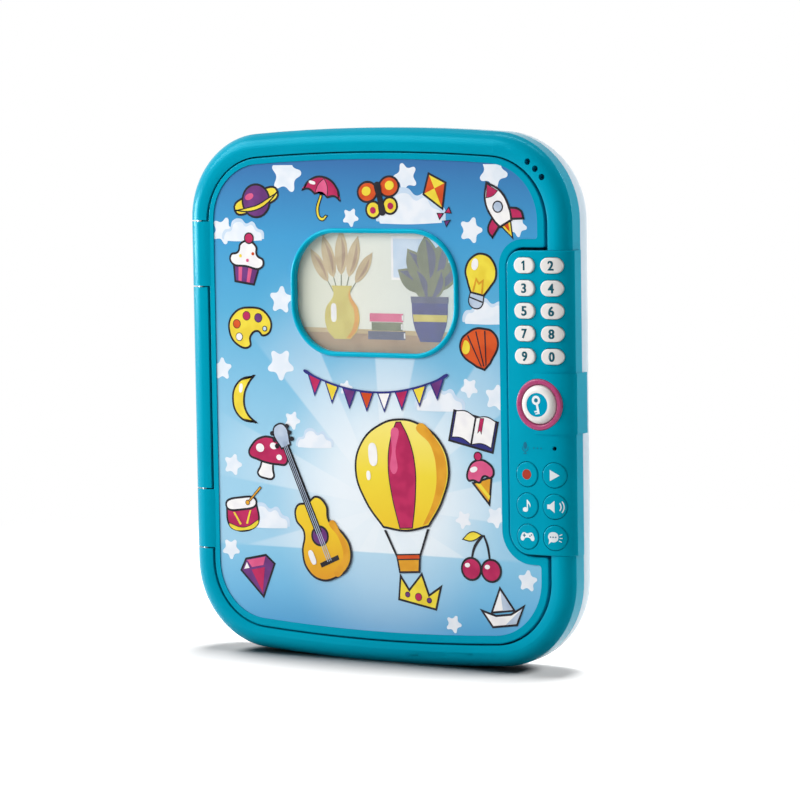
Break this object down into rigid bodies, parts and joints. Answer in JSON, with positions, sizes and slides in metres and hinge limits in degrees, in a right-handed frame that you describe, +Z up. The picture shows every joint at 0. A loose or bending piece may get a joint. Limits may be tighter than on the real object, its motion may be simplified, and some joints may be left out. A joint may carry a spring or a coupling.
{
  "type": "electronic diary",
  "caption": "Upright electronic diary: rounded case with a side-hinged printed lid, picture window, keypad column with lock light, inner tray with notepad, and battery bay at the back.",
  "frame": {"origin": "middle of the case's width and depth, on the surface that the diary stands on", "axes": "+X to the right seen from the front, +Y from the front to the back, +Z up"},
  "size_m": [0.2067, 0.036, 0.2454],
  "materials": {
    "teal_plastic": "satin moulded",
    "pale_plastic": "satin moulded",
    "tray_plastic": "fine moulded texture",
    "printed_sheet": "printed, semi gloss",
    "bezel_plastic": "gloss",
    "clear_plastic": "clear",
    "picture_paper": "printed photo card",
    "white_plastic": "satin",
    "pink_ring": "translucent",
    "badge_plastic": "gloss",
    "rubber_sheet": "silicone",
    "circuit_board": "solder mask",
    "dark_plastic": "matte",
    "steel": "plated",
    "cell_metal": "wrapped cell",
    "paper": "ruled writing paper",
    "card": "grey board"
  },
  "bodies": {
    "case": {"front_frame": "teal_plastic", "rear_shell": "pale_plastic", "inner_tray": "tray_plastic", "keypad_panel": "teal_plastic", "clasp_band": "teal_plastic", "light_ring": "pink_ring", "key_membrane": "rubber_sheet", "keypad_board": "circuit_board", "ring_leds": "clear_plastic", "unlock_switch": "dark_plastic", "microphone": "steel", "main_board": "circuit_board", "speaker": "dark_plastic", "hinge_pins": "steel", "latch_solenoid": "steel", "notepad_pages": "paper", "notepad_backing": "card", "battery_cells": "cell_metal", "battery_contacts": "steel", "case_screws": "steel", "frame_screws": "steel", "panel_screws": "steel"},
    "lid": {"lid_frame": "teal_plastic", "cover_print": "printed_sheet", "window_bezel": "bezel_plastic", "window_lens": "clear_plastic", "picture_card": "picture_paper", "lid_back_panel": "tray_plastic", "lid_catch": "dark_plastic", "lid_screws": "steel"},
    "picture_door": {"picture_door": "tray_plastic"},
    "unlock_button": {"unlock_button": "white_plastic", "unlock_badge": "badge_plastic"},
    "key_1": {"key_1": "white_plastic"},
    "key_2": {"key_2": "white_plastic"},
    "key_3": {"key_3": "white_plastic"},
    "key_4": {"key_4": "white_plastic"},
    "key_5": {"key_5": "white_plastic"},
    "key_6": {"key_6": "white_plastic"},
    "key_7": {"key_7": "white_plastic"},
    "key_8": {"key_8": "white_plastic"},
    "key_9": {"key_9": "white_plastic"},
    "key_0": {"key_0": "white_plastic"},
    "record_key": {"record_key": "teal_plastic"},
    "play_key": {"play_key": "teal_plastic"},
    "music_key": {"music_key": "teal_plastic"},
    "volume_key": {"volume_key": "teal_plastic"},
    "game_key": {"game_key": "teal_plastic"},
    "voice_key": {"voice_key": "teal_plastic"},
    "latch_slider": {"latch_slider": "dark_plastic"},
    "battery_door": {"battery_door": "pale_plastic", "door_screw": "steel"}
  },
  "joints": [
    {"name": "lid_hinge", "type": "hinge", "parent": "case", "child": "lid", "pos_m": [-0.0979, -0.0108, 0.122], "axis": [0, 0, -1], "range_deg": [0, 170]},
    {"name": "picture_door_lift", "type": "slide", "parent": "lid", "child": "picture_door", "axis": [0, 1, 0], "range_m": [0, 0.004]},
    {"name": "key_1_press", "type": "slide", "parent": "case", "child": "key_1", "axis": [0, 1, 0], "range_m": [0, 0.0012], "stiffness_N_per_m": 800, "springref_m": -0.0003},
    {"name": "key_2_press", "type": "slide", "parent": "case", "child": "key_2", "axis": [0, 1, 0], "range_m": [0, 0.0012], "stiffness_N_per_m": 800, "springref_m": -0.0003},
    {"name": "key_3_press", "type": "slide", "parent": "case", "child": "key_3", "axis": [0, 1, 0], "range_m": [0, 0.0012], "stiffness_N_per_m": 800, "springref_m": -0.0003},
    {"name": "key_4_press", "type": "slide", "parent": "case", "child": "key_4", "axis": [0, 1, 0], "range_m": [0, 0.0012], "stiffness_N_per_m": 800, "springref_m": -0.0003},
    {"name": "key_5_press", "type": "slide", "parent": "case", "child": "key_5", "axis": [0, 1, 0], "range_m": [0, 0.0012], "stiffness_N_per_m": 800, "springref_m": -0.0003},
    {"name": "key_6_press", "type": "slide", "parent": "case", "child": "key_6", "axis": [0, 1, 0], "range_m": [0, 0.0012], "stiffness_N_per_m": 800, "springref_m": -0.0003},
    {"name": "key_7_press", "type": "slide", "parent": "case", "child": "key_7", "axis": [0, 1, 0], "range_m": [0, 0.0012], "stiffness_N_per_m": 800, "springref_m": -0.0003},
    {"name": "key_8_press", "type": "slide", "parent": "case", "child": "key_8", "axis": [0, 1, 0], "range_m": [0, 0.0012], "stiffness_N_per_m": 800, "springref_m": -0.0003},
    {"name": "key_9_press", "type": "slide", "parent": "case", "child": "key_9", "axis": [0, 1, 0], "range_m": [0, 0.0012], "stiffness_N_per_m": 800, "springref_m": -0.0003},
    {"name": "key_0_press", "type": "slide", "parent": "case", "child": "key_0", "axis": [0, 1, 0], "range_m": [0, 0.0012], "stiffness_N_per_m": 800, "springref_m": -0.0003},
    {"name": "record_key_press", "type": "slide", "parent": "case", "child": "record_key", "axis": [0, 1, 0], "range_m": [0, 0.0012], "stiffness_N_per_m": 800, "springref_m": -0.0003},
    {"name": "play_key_press", "type": "slide", "parent": "case", "child": "play_key", "axis": [0, 1, 0], "range_m": [0, 0.0012], "stiffness_N_per_m": 800, "springref_m": -0.0003},
    {"name": "music_key_press", "type": "slide", "parent": "case", "child": "music_key", "axis": [0, 1, 0], "range_m": [0, 0.0012], "stiffness_N_per_m": 800, "springref_m": -0.0003},
    {"name": "volume_key_press", "type": "slide", "parent": "case", "child": "volume_key", "axis": [0, 1, 0], "range_m": [0, 0.0012], "stiffness_N_per_m": 800, "springref_m": -0.0003},
    {"name": "game_key_press", "type": "slide", "parent": "case", "child": "game_key", "axis": [0, 1, 0], "range_m": [0, 0.0012], "stiffness_N_per_m": 800, "springref_m": -0.0003},
    {"name": "voice_key_press", "type": "slide", "parent": "case", "child": "voice_key", "axis": [0, 1, 0], "range_m": [0, 0.0012], "stiffness_N_per_m": 800, "springref_m": -0.0003},
    {"name": "unlock_press", "type": "slide", "parent": "case", "child": "unlock_button", "axis": [0, 1, 0], "range_m": [0, 0.001], "stiffness_N_per_m": 900, "springref_m": -0.0003},
    {"name": "latch_slide", "type": "slide", "parent": "case", "child": "latch_slider", "axis": [-1, 0, 0], "range_m": [0, 0.006]},
    {"name": "battery_door_lift", "type": "slide", "parent": "case", "child": "battery_door", "axis": [0, 1, 0], "range_m": [0, 0.012]}
  ]
}
